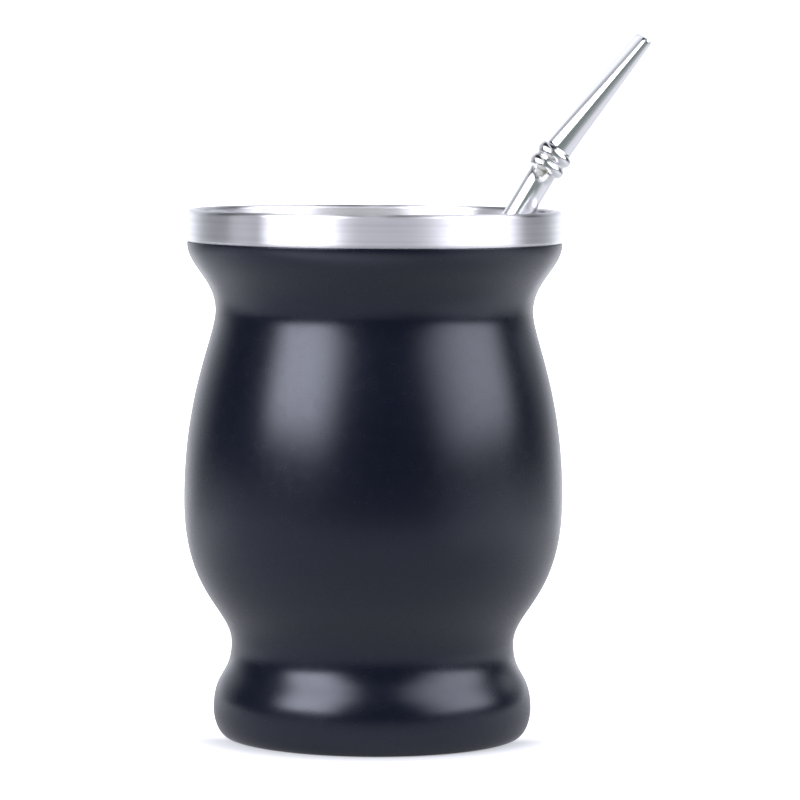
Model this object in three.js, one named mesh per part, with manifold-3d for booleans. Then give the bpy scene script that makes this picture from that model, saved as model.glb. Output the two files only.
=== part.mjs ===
// Waisted steel mate cup with a bare rim band, packed with leaves and served with its metal straw.
// Millimetres, +Z up. The origin is the middle of the flat underside, on the cup's axis.
// +X points the way the straw leans and +Y points away from the viewer.
import * as THREE from "three";
import { mergeVertices } from "three/addons/utils/BufferGeometryUtils.js";
import Module from "manifold-3d";

// Outside of the cup: radius and height of each place where the wall stands upright.
// below and above are the lengths of the upright handles of the curve at that place.
const FOOT = { radius: 34.1, height: 6.0, below: 2.7, above: 7.8 };
const WAIST = { radius: 30.3, height: 20.0, below: 7.1, above: 7.5 };
const BELLY = { radius: 40.6, height: 51.0, below: 20.8, above: 23.1 };
const NECK = { radius: 34.0, height: 91.4, below: 5.7, above: 6.6 };
const PAINT_EDGE = { radius: 40.1, height: 105.75, below: 5.0 };
const RESTING_RADIUS = 30.9;
const FOOT_ROUNDING = 2.0;

// Rim band, lip and the inside of the steel liner
const BAND_RADIUS = 40.0;
const BAND_BOTTOM = 106.05;
const RIM_HEIGHT = 113.0;
const LIP_WIDTH = 1.8;
const MOUTH_RADIUS = BAND_RADIUS - LIP_WIDTH;
const MOUTH_BOTTOM = { radius: MOUTH_RADIUS, height: 107.0, below: 4.5 };
const INNER_NECK = { radius: 30.0, height: 91.4, below: 7.0, above: 6.1 };
const INNER_BELLY = { radius: 35.0, height: 51.0, below: 15.0, above: 22.0 };
const FLOOR_HEIGHT = 23.0;
const FLOOR_RADIUS = 17.0;
const FLOOR_ROUNDING = 8.0;
const LINER_WALL = 0.8;
const GAP = 0.3;
const CUP_SIDES = 52;
const OUTSIDE_STEPS = { footEdge: 4, foot: 6, lowBelly: 7, highBelly: 7, neck: 5 };
const INSIDE_STEPS = 4;
const LIP_STEPS = 6;

// Straw: a straight stem, a collar of two beads at the bend, and a mouthpiece pressed flat
const STRAW_SIDE_OFFSET = 14.4;
const COLLAR_X = 37.85;
const COLLAR_HEIGHT = 123.5;
const STEM_LEAN = THREE.MathUtils.degToRad(30.5);
const MOUTHPIECE_LEAN = THREE.MathUtils.degToRad(37.2);
const STEM_LENGTH = 110.0;
const MOUTHPIECE_LENGTH = 33.5;
const STEM_RADIUS = 3.0;
const STRAW_WALL = 0.5;
const BEAD_HEIGHT = 1.1;
const BEAD_PITCH = 2.95;
const BEAD_FULLNESS = 0.6;
const BEAD_COUNT = 2;
const BEAD_STEPS = 6;
const BEND_LENGTH = 5.0;
const TIP_HALF_THICKNESS = 1.4;
const TIP_HALF_WIDTH = 3.9;
const MOUTHPIECE_ROLL = THREE.MathUtils.degToRad(15.0);
const TIP_SQUARENESS = 2.8;
const TIP_ROUNDING = 1.2;
const TIP_TURN_IN = 0.5;
const TIP_STEPS = 3;
const STRAW_SIDES = 20;
const MOUTHPIECE_STEPS = 6;

// Contents: leaves heaped against the left wall, with the brew standing on the right
const LEAF_MIDDLE = 95.2;
const LEAF_RISE = 4.5;
const SLOPE_RUN = 12.0;
const SLOPE_HEADING = THREE.MathUtils.degToRad(8.0);
const BREW_LEVEL = 93.4;
const LEAF_GRID = 24;
const CAVITY_SIDES = 40;
const TWIG_COUNT = 30;
const FLAKE_COUNT = 50;
const DRY_MARGIN = 1.6;
const HEAP_REACH = 30.0;
const BIT_TILT = 0.5;

const wasm = await Module();
wasm.setup();

// Points of one stretch of wall between two places where it stands upright.
function wallCurve(low, high, divisions) {
  const curve = new THREE.CubicBezierCurve(
    new THREE.Vector2(low.radius, low.height),
    new THREE.Vector2(low.radius, low.height + low.above),
    new THREE.Vector2(high.radius, high.height - high.below),
    new THREE.Vector2(high.radius, high.height),
  );
  return curve.getPoints(divisions);
}

// Points of a rounded corner that leaves level and ends upright.
function levelToUpright(radius, height, reach, end, divisions) {
  const curve = new THREE.CubicBezierCurve(
    new THREE.Vector2(radius, height),
    new THREE.Vector2(radius + reach, height),
    new THREE.Vector2(end.radius, end.height - end.below),
    new THREE.Vector2(end.radius, end.height),
  );
  return curve.getPoints(divisions);
}

// Joins stretches that share their end points.
function joined(...stretches) {
  return stretches.flatMap((points, index) => (index === 0 ? points : points.slice(1)));
}

// Moves a profile sideways along its own normals, to the right of its direction.
function offsetProfile(points, distance) {
  return points.map((point, index) => {
    const before = points[Math.max(index - 1, 0)];
    const after = points[Math.min(index + 1, points.length - 1)];
    const along = after.clone().sub(before).normalize();
    const moved = new THREE.Vector2(point.x + along.y * distance, point.y - along.x * distance);
    moved.x = Math.max(moved.x, 0);
    return moved;
  });
}

// Keeps positions only, merges shared corners and drops triangles without area.
function closedGeometry(geometry) {
  const bare = new THREE.BufferGeometry();
  bare.setAttribute("position", geometry.getAttribute("position").clone());
  if (geometry.index) {
    bare.setIndex(geometry.index.clone());
  }
  const merged = mergeVertices(bare, 1e-5);
  const corners = Array.from(merged.index.array);
  const kept = [];
  for (let i = 0; i < corners.length; i += 3) {
    const [a, b, c] = corners.slice(i, i + 3);
    if (a !== b && b !== c && c !== a) {
      kept.push(a, b, c);
    }
  }
  merged.setIndex(kept);
  return merged;
}

// Turns a profile of radius and height round the Z axis.
function turned(profile, sides) {
  const geometry = new THREE.LatheGeometry(profile, sides);
  geometry.rotateX(Math.PI / 2);
  return closedGeometry(geometry);
}

function toSolid(geometry) {
  const closed = closedGeometry(geometry);
  const mesh = new wasm.Mesh({
    numProp: 3,
    vertProperties: new Float32Array(closed.getAttribute("position").array),
    triVerts: new Uint32Array(closed.index.array),
  });
  return new wasm.Manifold(mesh);
}

function toGeometry(solid) {
  const mesh = solid.getMesh();
  const geometry = new THREE.BufferGeometry();
  geometry.setAttribute("position", new THREE.BufferAttribute(new Float32Array(mesh.vertProperties), 3));
  geometry.setIndex(new THREE.BufferAttribute(new Uint32Array(mesh.triVerts), 1));
  return geometry;
}

// The largest of the pieces that a cut leaves.
function largestPiece(solid) {
  return solid.decompose().sort((a, b) => b.volume() - a.volume())[0];
}

// Inside face of the liner, from the middle of its floor up to the mouth.
function innerWall() {
  return joined(
    [new THREE.Vector2(0, FLOOR_HEIGHT), new THREE.Vector2(FLOOR_RADIUS, FLOOR_HEIGHT)],
    levelToUpright(FLOOR_RADIUS, FLOOR_HEIGHT, FLOOR_ROUNDING, INNER_BELLY, INSIDE_STEPS),
    wallCurve(INNER_BELLY, INNER_NECK, INSIDE_STEPS),
    wallCurve(INNER_NECK, MOUTH_BOTTOM, INSIDE_STEPS),
  );
}

// Painted shell: underside, foot, waist, belly and flared neck, hollow for the liner.
function cupBody() {
  const outside = joined(
    [new THREE.Vector2(0, 0), new THREE.Vector2(RESTING_RADIUS, 0)],
    levelToUpright(RESTING_RADIUS, 0, FOOT_ROUNDING, FOOT, OUTSIDE_STEPS.footEdge),
    wallCurve(FOOT, WAIST, OUTSIDE_STEPS.foot),
    wallCurve(WAIST, BELLY, OUTSIDE_STEPS.lowBelly),
    wallCurve(BELLY, NECK, OUTSIDE_STEPS.highBelly),
    wallCurve(NECK, PAINT_EDGE, OUTSIDE_STEPS.neck),
  );
  const bore = offsetProfile(innerWall(), LINER_WALL + GAP);
  const wall = bore.filter((point) => point.y < PAINT_EDGE.height - 1);
  const rimInside = new THREE.Vector2(MOUTH_RADIUS + LINER_WALL + GAP, PAINT_EDGE.height);
  return turned([...outside, rimInside, ...wall.reverse()], CUP_SIDES);
}

// Steel liner, rolled over a round lip into the bare band outside the rim.
function steelLiner() {
  const inside = innerWall();
  const outside = offsetProfile(inside, LINER_WALL).filter((point) => point.y < BAND_BOTTOM - 1);
  const lipRadius = LIP_WIDTH / 2;
  const lip = [];
  for (let step = 0; step <= LIP_STEPS; step += 1) {
    const turn = (Math.PI * step) / LIP_STEPS;
    const radius = BAND_RADIUS - lipRadius + lipRadius * Math.cos(turn);
    lip.push(new THREE.Vector2(radius, RIM_HEIGHT - lipRadius + lipRadius * Math.sin(turn)));
  }
  const seam = [
    new THREE.Vector2(MOUTH_RADIUS + LINER_WALL, BAND_BOTTOM),
    new THREE.Vector2(BAND_RADIUS, BAND_BOTTOM),
  ];
  return turned([...outside, ...seam, ...lip, ...inside.reverse()], CUP_SIDES);
}

// Middle line of the straw at a distance from its lower end: a bend of even curve joins two
// straight runs. Gives the place, the direction across the straw in its own upright plane, and the
// direction along it.
function strawAxis(distance) {
  const bendStart = STEM_LENGTH - BEND_LENGTH / 2;
  const bendRadius = BEND_LENGTH / (MOUTHPIECE_LEAN - STEM_LEAN);
  const inBend = THREE.MathUtils.clamp(distance - bendStart, 0, BEND_LENGTH);
  const lean = STEM_LEAN + inBend / bendRadius;
  const before = Math.min(distance, bendStart) - STEM_LENGTH;
  const after = Math.max(distance - bendStart - BEND_LENGTH, 0);
  const bentAcross = bendRadius * (Math.cos(STEM_LEAN) - Math.cos(lean));
  const bentUp = bendRadius * (Math.sin(lean) - Math.sin(STEM_LEAN));
  const sideways = before * Math.sin(STEM_LEAN) + bentAcross + after * Math.sin(lean);
  const upwards = before * Math.cos(STEM_LEAN) + bentUp + after * Math.cos(lean);
  return {
    place: new THREE.Vector3(COLLAR_X + sideways, STRAW_SIDE_OFFSET, COLLAR_HEIGHT + upwards),
    across: new THREE.Vector3(Math.cos(lean), 0, -Math.sin(lean)),
    along: new THREE.Vector3(Math.sin(lean), 0, Math.cos(lean)),
  };
}

// Straw: a tube profile turned straight, then laid along the middle line. The mouthpiece is pressed
// from a round to a flat section that is rolled a little about the straw, with its wall kept at one
// thickness and its end turned in.
function bombilla() {
  const collarStart = STEM_LENGTH - (BEAD_COUNT * BEAD_PITCH) / 2;
  const length = STEM_LENGTH + MOUTHPIECE_LENGTH;
  const edge = STRAW_WALL / 2;
  const outside = [new THREE.Vector2(STEM_RADIUS, 0)];
  for (let step = 0; step <= BEAD_COUNT * BEAD_STEPS; step += 1) {
    const swell = Math.abs(Math.sin((Math.PI * step) / BEAD_STEPS)) ** BEAD_FULLNESS;
    const distance = collarStart + (BEAD_PITCH * step) / BEAD_STEPS;
    outside.push(new THREE.Vector2(STEM_RADIUS + BEAD_HEIGHT * swell, distance));
  }
  const mouthStart = collarStart + BEAD_COUNT * BEAD_PITCH;
  const stations = [];
  const roundingStart = length - TIP_ROUNDING;
  for (let step = 1; step <= MOUTHPIECE_STEPS; step += 1) {
    stations.push(THREE.MathUtils.lerp(mouthStart, roundingStart, step / MOUTHPIECE_STEPS));
  }
  for (let step = 1; step <= TIP_STEPS; step += 1) {
    stations.push(THREE.MathUtils.lerp(roundingStart, length - edge, step / TIP_STEPS));
  }
  outside.push(...stations.map((distance) => new THREE.Vector2(STEM_RADIUS, distance)));
  const innerRadius = STEM_RADIUS - STRAW_WALL;
  const tip = new THREE.Vector2(STEM_RADIUS - edge, length);
  const bendEnds = [STEM_LENGTH + BEND_LENGTH / 2, STEM_LENGTH, STEM_LENGTH - BEND_LENGTH / 2];
  const downwards = [...stations.reverse(), ...bendEnds, 0];
  const inside = downwards.map((distance) => new THREE.Vector2(innerRadius, distance));
  const profile = [...outside, tip, ...inside, outside[0].clone()];
  const geometry = new THREE.LatheGeometry(profile, STRAW_SIDES);

  const position = geometry.getAttribute("position");
  for (let i = 0; i < position.count; i += 1) {
    const distance = position.getY(i);
    const radius = Math.hypot(position.getX(i), position.getZ(i));
    const flat = THREE.MathUtils.smoothstep(distance, mouthStart, length);
    const power = 2 / THREE.MathUtils.lerp(2, TIP_SQUARENESS, flat);
    const cosine = position.getX(i) / radius;
    const sine = position.getZ(i) / radius;
    const thin = THREE.MathUtils.lerp(STEM_RADIUS, TIP_HALF_THICKNESS, taper(distance, mouthStart, length));
    const wide = THREE.MathUtils.lerp(STEM_RADIUS, TIP_HALF_WIDTH, flat);
    const turnedIn = TIP_TURN_IN * (1 - Math.sqrt(1 - taper(distance, roundingStart, length) ** 2));
    const raised = radius - STEM_RADIUS - turnedIn;
    const { place, across, along } = strawAxis(distance);
    const sideways = new THREE.Vector3(0, 1, 0).applyAxisAngle(along, MOUTHPIECE_ROLL);
    across.applyAxisAngle(along, MOUTHPIECE_ROLL);
    place.addScaledVector(across, Math.sign(cosine) * Math.abs(cosine) ** power * (thin + raised));
    place.addScaledVector(sideways, -Math.sign(sine) * Math.abs(sine) ** power * (wide + raised));
    position.setXYZ(i, place.x, place.y, place.z);
  }
  return closedGeometry(geometry);
}

// Even taper from 0 to 1 along a run, level before and after it.
function taper(distance, start, end) {
  return THREE.MathUtils.clamp((distance - start) / (end - start), 0, 1);
}

// Room that the contents may fill: the inside of the liner less a narrow gap.
function cavity() {
  const wall = offsetProfile(innerWall(), -GAP);
  const top = wall[wall.length - 1];
  return toSolid(turned([...wall, new THREE.Vector2(0, top.y)], CAVITY_SIDES));
}

// Bore round the straw through the contents.
function strawChannel() {
  const foot = strawAxis(-1).place;
  const head = strawAxis(STEM_LENGTH - 10).place;
  const along = head.clone().sub(foot);
  const radius = STEM_RADIUS + GAP;
  const geometry = new THREE.CylinderGeometry(radius, radius, along.length(), STRAW_SIDES);
  const upright = new THREE.Vector3(0, 1, 0);
  const turn = new THREE.Quaternion().setFromUnitVectors(upright, along.clone().normalize());
  geometry.applyQuaternion(turn);
  const middle = foot.clone().add(head).multiplyScalar(0.5);
  geometry.translate(middle.x, middle.y, middle.z);
  return toSolid(geometry);
}

// Height of the leaves: a bank that falls towards the straw, with ripples on it.
function leafHeight(x, y) {
  const along = x * Math.cos(SLOPE_HEADING) + y * Math.sin(SLOPE_HEADING);
  const bank = LEAF_MIDDLE - LEAF_RISE * Math.tanh(along / SLOPE_RUN);
  const swell = 0.55 * Math.sin(0.31 * x + 1.3) * Math.cos(0.27 * y - 0.4);
  const ripple = 0.35 * Math.sin(1.05 * x - 0.7 * y) + 0.3 * Math.cos(0.8 * x + 1.15 * y + 0.6);
  return bank + swell + ripple * THREE.MathUtils.smoothstep(bank, BREW_LEVEL, BREW_LEVEL + 2);
}

// Everything below the leaves' surface, raised by a given height.
function belowLeaves(raised) {
  const width = 2 * (INNER_BELLY.radius + 2);
  const base = FLOOR_HEIGHT - 5;
  const block = new THREE.BoxGeometry(width, width, 1, LEAF_GRID, LEAF_GRID, 1);
  const position = block.getAttribute("position");
  for (let i = 0; i < position.count; i += 1) {
    const top = leafHeight(position.getX(i), position.getY(i)) + raised;
    position.setZ(i, position.getZ(i) > 0 ? top : base);
  }
  return toSolid(block);
}

// Repeatable draws between 0 and 1.
function seededDraws(seed) {
  let state = seed;
  return () => {
    state = (Math.imul(state, 1664525) + 1013904223) >>> 0;
    return state / 4294967296;
  };
}

// Dry bits of stalk and leaf that lie half sunk in the bank, spread by the golden angle.
function scatteredBits(count, seed, makeBit) {
  const draw = seededDraws(seed);
  const goldenAngle = Math.PI * (3 - Math.sqrt(5));
  const bits = [];
  for (let i = 0; i < count; i += 1) {
    const radius = HEAP_REACH * Math.sqrt((i + 0.5) / count);
    const x = radius * Math.cos(i * goldenAngle + seed);
    const y = radius * Math.sin(i * goldenAngle + seed);
    const height = leafHeight(x, y);
    const bit = makeBit(draw);
    bit.rotateX((draw() - 0.5) * BIT_TILT);
    bit.rotateY((draw() - 0.5) * BIT_TILT);
    bit.rotateZ(draw() * Math.PI);
    bit.translate(x, y, height + 0.15);
    if (height > BREW_LEVEL + DRY_MARGIN) {
      bits.push(toSolid(bit));
    }
  }
  return bits;
}

function twig(draw) {
  const radius = 0.55 + 0.35 * draw();
  return new THREE.CylinderGeometry(radius, radius * 0.9, 5 + 6 * draw(), 6);
}

function flake(draw) {
  return new THREE.BoxGeometry(1.6 + 1.6 * draw(), 1.2 + 1.0 * draw(), 0.9);
}

// Bank of leaves with its loose bits, filling the cup below its surface.
function yerbaMate(room, channel) {
  const twigs = scatteredBits(TWIG_COUNT, 7, twig);
  const flakes = scatteredBits(FLAKE_COUNT, 3, flake);
  const heap = [...twigs, ...flakes].reduce((sum, bit) => sum.add(bit), belowLeaves(0));
  return toGeometry(largestPiece(heap.intersect(room).subtract(channel)));
}

// Brew that stands over the low side of the leaves, level on top and cut round the straw.
function mateInfusion(room, channel) {
  const width = 2 * (INNER_BELLY.radius + 2);
  const depth = 2 * LEAF_RISE;
  const slab = new THREE.BoxGeometry(width, width, depth);
  slab.translate(0, 0, BREW_LEVEL - depth / 2);
  const pool = toSolid(slab).intersect(room).subtract(belowLeaves(GAP)).subtract(channel);
  return toGeometry(largestPiece(pool));
}

function addPiece(group, name, geometry, color, roughness, metalness) {
  const material = new THREE.MeshStandardMaterial({ color, roughness, metalness });
  material.name = name;
  const mesh = new THREE.Mesh(geometry, material);
  mesh.name = name;
  group.add(mesh);
}

const room = cavity();
const channel = strawChannel();
const mateCup = new THREE.Group();
addPiece(mateCup, "cup_body", cupBody(), 0x1b1e28, 0.45, 0.1);
addPiece(mateCup, "steel_liner", steelLiner(), 0xc4c6cc, 0.35, 1.0);
addPiece(mateCup, "bombilla", bombilla(), 0xd6d8dc, 0.15, 1.0);
addPiece(mateCup, "yerba_mate", yerbaMate(room, channel), 0x6f7440, 0.95, 0.0);
addPiece(mateCup, "mate_infusion", mateInfusion(room, channel), 0x8a8a3c, 0.2, 0.0);

export default mateCup;
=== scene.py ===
"""Waisted steel mate cup with its drink and its metal straw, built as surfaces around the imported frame."""
import math

import bpy
import numpy as np
from mathutils import Matrix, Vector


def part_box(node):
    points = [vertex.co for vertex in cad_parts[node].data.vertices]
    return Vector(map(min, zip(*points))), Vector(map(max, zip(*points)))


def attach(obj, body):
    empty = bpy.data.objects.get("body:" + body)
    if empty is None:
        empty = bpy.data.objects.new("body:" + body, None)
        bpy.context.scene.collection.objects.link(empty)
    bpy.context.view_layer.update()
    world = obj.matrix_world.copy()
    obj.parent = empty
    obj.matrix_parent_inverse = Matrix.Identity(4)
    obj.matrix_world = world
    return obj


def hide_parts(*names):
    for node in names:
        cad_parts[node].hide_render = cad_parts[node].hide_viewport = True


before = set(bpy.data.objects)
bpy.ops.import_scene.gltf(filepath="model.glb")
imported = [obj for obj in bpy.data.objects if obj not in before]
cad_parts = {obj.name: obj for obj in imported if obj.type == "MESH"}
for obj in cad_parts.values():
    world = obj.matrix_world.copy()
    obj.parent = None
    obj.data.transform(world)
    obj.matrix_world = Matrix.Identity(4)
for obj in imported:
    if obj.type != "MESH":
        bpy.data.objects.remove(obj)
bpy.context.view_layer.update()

bl_info = {
    "name": "Mate cup with straw",
    "version": (1, 0, 0),
    "blender": (4, 5, 0),
    "location": "3D View > Sidebar > Mate",
    "description": "Builds a waisted steel mate cup, its leaves and brew, and its metal straw",
    "category": "Add Mesh",
}

_, CUP_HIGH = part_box("cup_body")
_, LINER_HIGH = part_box("steel_liner")
_, BREW_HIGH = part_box("mate_infusion")
BODY = "root"
SHELL, BAND, STRAW = "cup_body_shell", "steel_liner_and_band", "bombilla_straw"
IMAGE_SIDE = 800
MM = 0.001

# Sockets of the Mix node that carry colours, by number, because it gives their names to others too
MIX_FIRST, MIX_SECOND, MIX_RESULT = 6, 7, 2

# Studio: tints of the light, distance of the softboxes and height that they face, and fades even on all sides
STUDIO_TINT = (0.91, 0.92, 1.0)
SHADE_TINT = (0.85, 1.0, 0.97)
SOFTBOX_DISTANCE = 1.4
SOFTBOX_AIM = 0.06
EVEN = (0.15, 0.15, 0.15, 0.15)

# Weak softboxes that stand in for the room that steel and paint reflect. Each row holds its name, azimuth and
# elevation, spread, radiance at its lower and its upper edge, fades and lit piece. The distance and the tint
# follow where they aren't the usual ones
ROOM_SOFTBOXES = (
    ("front_card", (6, 22), (112, 60), (0.95, 0.8), EVEN, BAND),
    ("band_top_card", (0, 84), (70, 70), (0.7, 0.7), EVEN, BAND),
    ("left_strip", (-88, 20), (30, 60), (0.55, 0.5), (0.3, 0.25, 0.15, 0.15), BAND),
    ("straw_front_card", (0, 20), (80, 50), (0.22, 0.2), EVEN, STRAW, SOFTBOX_DISTANCE, SHADE_TINT),
    ("straw_low_card", (15, -2), (90, 24), (0.2, 0.2), EVEN, STRAW, 0.4, SHADE_TINT),
    ("straw_left_card", (-72, 30), (46, 56), (1.8, 1.8), (0.05, 0.3, 0.15, 0.15), STRAW),
    ("straw_back_card", (-138, 26), (76, 56), (0.52, 0.52), (0.3, 0.1, 0.15, 0.15), STRAW),
    ("straw_top_card", (0, 84), (84, 84), (1.3, 1.3), EVEN, STRAW),
    ("straw_right_card", (150, 30), (64, 60), (0.5, 0.5), EVEN, STRAW),
    ("right_edge_strip", (132, 36), (36, 56), (0.45, 0.4), (0.3, 0.3, 0.15, 0.3), SHELL),
)
# Cards close to the cup, each with its place, its tilt from facing down in degrees and its size in metres
NEAR_CARDS = (
    ("mouth_card", (0.001, 0.0, 0.1020), 180, (0.072, 0.060), (0.8, 0.8), (0.1, 0.45, 0.1, 0.1), STRAW),
    ("neck_card", (-0.028, -0.078, 0.088), 180, (0.150, 0.070), (0.75, 0.75), (0.15, 0.6, 0.3, 0.3), SHELL),
    ("rim_card", (0.0, -0.030, 0.155), 70, (0.090, 0.050), (0.7, 0.7), EVEN, BAND),
)


def length(name, description, default):
    """A length in metres that a user may change."""
    return bpy.props.FloatProperty(
        name=name, description=description, default=default, precision=5, unit="LENGTH"
    )


def slant(name, description, default):
    """An angle in radians that a user may change."""
    return bpy.props.FloatProperty(name=name, description=description, default=default, subtype="ANGLE")


def number(name, description, default):
    """A plain number that a user may change."""
    return bpy.props.FloatProperty(name=name, description=description, default=default)


def count_of(name, description, default, least=0):
    """A count that a user may change."""
    return bpy.props.IntProperty(name=name, description=description, default=default, min=least)


def upright_place(name, default):
    """A place where the wall stands upright: radius, height, and the curve's handles below and above it."""
    words = "Radius, height, handle below and handle above"
    return bpy.props.FloatVectorProperty(
        name=name, description=words, default=default, size=4, precision=5, unit="LENGTH"
    )


def colour(name, description, default):
    """A linear colour that a user may change."""
    return bpy.props.FloatVectorProperty(
        name=name, description=description, default=default, size=3, subtype="COLOR", min=0.0, max=1.0
    )


class MateCupSettings(bpy.types.PropertyGroup):
    """Sizes and colours of the painted shell and of the steel liner with its rim band."""

    foot: upright_place("Foot", (0.0341, 0.0060, 0.0027, 0.0078))
    waist: upright_place("Waist", (0.0303, 0.0200, 0.0071, 0.0075))
    belly: upright_place("Belly", (CUP_HIGH.x, 0.0510, 0.0208, 0.0231))
    neck: upright_place("Neck", (0.0340, 0.0914, 0.0057, 0.0066))
    paint_edge: upright_place("Paint edge", (0.0401, 0.10598, 0.0050, 0.0))
    resting_radius: length("Resting radius", "Radius of the flat underside", 0.0309)
    foot_rounding: length("Foot rounding", "Reach of the foot's lower rounding", 0.0020)
    band_radius: length("Band radius", "Outer radius of the bare rim band", LINER_HIGH.x)
    band_bottom: length("Band bottom", "Height where the paint ends and the band begins", 0.10605)
    rim_height: length("Rim height", "Height of the top of the lip", LINER_HIGH.z)
    lip_width: length("Lip width", "Width of the round lip", 0.0018)
    band_chamfer: length("Band chamfer", "Height of the band's dressed lower edge", 0.0006)
    inner_neck: upright_place("Inner neck", (0.0300, 0.0914, 0.0070, 0.0061))
    inner_belly: upright_place("Inner belly", (0.0350, 0.0510, 0.0150, 0.0220))
    mouth_bottom: upright_place("Bottom of the mouth", (0.0382, 0.1070, 0.0045, 0.0))
    floor_height: length("Floor height", "Height of the cup's inside floor", 0.0230)
    floor_radius: length("Floor radius", "Radius of the flat of the inside floor", 0.0170)
    floor_rounding: length("Floor rounding", "Reach of the rounding round the inside floor", 0.0080)
    liner_wall: length("Liner wall", "Thickness of the steel liner", 0.0008)
    liner_gap: length("Liner gap", "Gap between the liner and the painted shell", 0.0003)
    paint: colour("Paint", "Blue-black powder coat", (0.0040, 0.0061, 0.0136))
    steel: colour("Steel", "Brushed steel of the liner and the band", (0.84, 0.84, 0.86))


class MateStrawSettings(bpy.types.PropertyGroup):
    """Sizes and colour of the metal straw."""

    side_offset: length("Side offset", "Distance of the straw's plane behind the cup's axis", 0.0144)
    collar_x: length("Collar place", "Distance of the collar from the cup's axis", 0.03785)
    collar_height: length("Collar height", "Height of the middle of the collar", 0.1235)
    stem_lean: slant("Stem lean", "Lean of the stem from upright", math.radians(30.5))
    mouthpiece_lean: slant("Mouthpiece lean", "Lean of the mouthpiece", math.radians(37.2))
    stem_length: length("Stem length", "From the lower end to the middle of the collar", 0.1100)
    mouthpiece_length: length("Mouthpiece length", "From the middle of the collar to the tip", 0.03344)
    stem_radius: length("Stem radius", "Outer radius of the tube", 0.0030)
    wall: length("Wall", "Thickness of the tube", 0.0005)
    bead_height: length("Bead height", "How far the collar's beads stand out", 0.0011)
    bead_pitch: length("Bead pitch", "Distance between the beads", 0.00295)
    bead_count: count_of("Beads", "Beads on the collar", 2, least=1)
    bend_length: length("Bend length", "Length over which the straw bends", 0.0050)
    tip_half_thickness: length("Tip half thickness", "Half the thickness of the flat tip", 0.0014)
    tip_half_width: length("Tip half width", "Half the width of the flat tip", 0.0039)
    mouthpiece_roll: slant("Mouthpiece roll", "Roll of the flat about the straw", math.radians(15.0))
    tip_rounding: length("Tip rounding", "Length over which the tip's end turns in", 0.0012)
    tip_turn_in: length("Tip turn-in", "How far the tip's end turns in", 0.0005)
    steel: colour("Steel", "Polished steel of the straw", (0.78, 0.785, 0.79))


class MateDrinkSettings(bpy.types.PropertyGroup):
    """Sizes and colours of the leaves and the brew."""

    leaf_middle: length("Leaf middle", "Height of the leaves' surface on the cup's axis", 0.0952)
    leaf_rise: length("Leaf rise", "How far the bank rises and falls from the middle", 0.0045)
    slope_run: length("Slope run", "Distance over which the bank falls", 0.0120)
    slope_heading: slant("Slope heading", "Heading in which the bank falls", math.radians(8.0))
    brew_level: length("Brew level", "Height of the brew's surface", BREW_HIGH.z)
    flake_count: count_of("Flakes", "Loose bits of leaf that are drawn", 3400)
    stalk_count: count_of("Stalks", "Loose bits of stalk that are drawn", 240)
    bubble_count: count_of("Bubbles", "Bubbles of foam that are drawn", 9000)
    leaf: colour("Leaf", "Dry ground leaf", (0.150, 0.165, 0.040))
    stalk: colour("Stalk", "Pale dry stalk", (0.42, 0.36, 0.16))
    brew: colour("Brew", "Green-gold brew", (0.105, 0.100, 0.016))
    foam: colour("Foam", "Pale foam", (0.46, 0.44, 0.17))


class MateStageSettings(bpy.types.PropertyGroup):
    """Place of the camera and strength of the studio light."""

    camera_distance: length("Camera distance", "Distance of the camera from the cup's axis", 0.9000)
    camera_height: length("Camera height", "Height of the camera above the table", 0.1386)
    camera_side: length("Camera side", "Distance of the camera to the right of the cup's axis", 0.0056)
    camera_pitch: slant("Camera pitch", "Tilt below level", 0.0736)
    camera_roll: slant("Camera roll", "Turn about the view", 0.0062)
    focal_pixels: number("Focal length", "Focal length in pixels of the square image", 4211.8)
    left_radiance: number("Left box", "Radiance of the left softbox", 7.6)
    right_radiance: number("Right box", "Radiance of the right softbox", 4.5)
    backdrop_radiance: number("Backdrop", "Radiance of the backdrop", 0.95)
    floor_colour: colour("Floor", "Plain pale floor", (0.45, 0.45, 0.46))


# Curves and surfaces

def bezier(first, second, third, fourth, steps):
    """Cubic curve (1-t)^3 A + 3t(1-t)^2 B + 3t^2(1-t) C + t^3 D for t from 0 to 1, as rows of points."""
    t = np.linspace(0.0, 1.0, steps + 1)[:, None]
    a, b, c, d = (np.asarray(point, float) for point in (first, second, third, fourth))
    return (1 - t) ** 3 * a + 3 * t * (1 - t) ** 2 * b + 3 * t**2 * (1 - t) * c + t**3 * d


def wall_curve(low, high, steps):
    """Stretch of wall between two upright places, as radius and height."""
    return bezier(low[:2], (low[0], low[1] + low[3]), (high[0], high[1] - high[2]), high[:2], steps)


def level_to_upright(radius, height, reach, end, steps):
    """Rounded corner that leaves level at a radius and ends upright at a place."""
    return bezier((radius, height), (radius + reach, height), (end[0], end[1] - end[2]), end[:2], steps)


def straight(start, end, steps):
    """Even points from start to end."""
    return np.linspace(start, end, steps + 1)


def joined(*stretches):
    """Stretches that share their end points, as one profile."""
    return np.concatenate([stretches[0]] + [stretch[1:] for stretch in stretches[1:]])


def offset_profile(profile, distance):
    """Profile moved to the right of its direction: P + distance (dz, -dr) / |(dr, dz)|."""
    along = np.gradient(profile, axis=0)
    along /= np.linalg.norm(along, axis=1, keepdims=True)
    moved = profile + distance * np.stack([along[:, 1], -along[:, 0]], axis=1)
    moved[:, 0] = np.maximum(moved[:, 0], 0.0)
    return moved


def ring_angles(count):
    """Even angles round a full turn."""
    return np.arange(count) * 2 * math.pi / count


def round_points(radius, angle, height):
    """Points (r cos a, r sin a, z)."""
    x, y = radius * np.cos(angle), radius * np.sin(angle)
    return np.stack([x, y, np.broadcast_to(height, x.shape)], axis=-1)


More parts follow.
